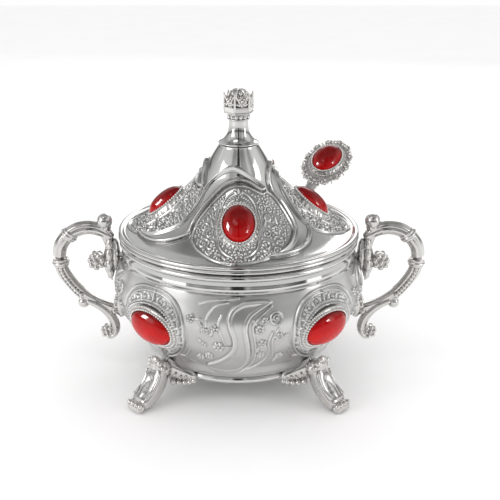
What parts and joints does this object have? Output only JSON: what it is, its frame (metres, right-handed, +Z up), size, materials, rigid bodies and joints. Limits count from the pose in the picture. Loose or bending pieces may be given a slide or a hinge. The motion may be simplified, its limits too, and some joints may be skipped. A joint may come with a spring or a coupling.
{
  "type": "sugar bowl",
  "caption": "Round silver-plated sugar bowl on cast feet, with scroll handles, a pointed domed lid with a crown finial, red cabochon stones and a spoon through a notch in the lid.",
  "frame": {"origin": "middle of the footprint box, on the table under the feet; the bowl's own axis is 9.5 mm in front of it, because the spoon leans out at the back", "axes": "+X towards the right handle, +Y to the back, +Z up"},
  "size_m": [0.1704, 0.1324, 0.1323],
  "materials": {
    "polished_silver": "polished silver plate",
    "cast_silver": "bright cast silver plate, darker in its recesses",
    "steel": "plain zinc-plated screws and stud",
    "red_cabochon": "clear red cabochon on a bright backing, glossy"
  },
  "bodies": {
    "bowl": {"bowl": "polished_silver", "handle_right": "cast_silver", "handle_screw_right_upper": "steel", "handle_screw_right_lower": "steel", "handle_left": "cast_silver", "handle_screw_left_upper": "steel", "handle_screw_left_lower": "steel", "foot_front_right": "cast_silver", "foot_screw_front_right": "steel", "bowl_setting_front_right": "cast_silver", "bowl_stone_front_right": "red_cabochon", "foot_front_left": "cast_silver", "foot_screw_front_left": "steel", "bowl_setting_front_left": "cast_silver", "bowl_stone_front_left": "red_cabochon", "foot_back_right": "cast_silver", "foot_screw_back_right": "steel", "bowl_setting_back_right": "cast_silver", "bowl_stone_back_right": "red_cabochon", "foot_back_left": "cast_silver", "foot_screw_back_left": "steel", "bowl_setting_back_left": "cast_silver", "bowl_stone_back_left": "red_cabochon"},
    "lid": {"lid": "polished_silver", "finial_neck": "polished_silver", "finial_crown": "cast_silver", "finial_stud": "steel", "finial_nut": "steel", "lid_setting_front": "cast_silver", "lid_stone_front": "red_cabochon", "lid_setting_right": "cast_silver", "lid_stone_right": "red_cabochon", "lid_setting_back": "cast_silver", "lid_stone_back": "red_cabochon", "lid_setting_left": "cast_silver", "lid_stone_left": "red_cabochon"},
    "spoon": {"spoon": "cast_silver", "spoon_setting": "cast_silver", "spoon_stone": "red_cabochon"}
  },
  "joints": [
    {"name": "lid_lift", "type": "slide", "parent": "bowl", "child": "lid", "axis": [0, 0, 1], "range_m": [0, 0.06]},
    {"name": "spoon_draw", "type": "slide", "parent": "bowl", "child": "spoon", "axis": [0.4809, 0.7405, 0.4695], "range_m": [0, 0.04]}
  ]
}
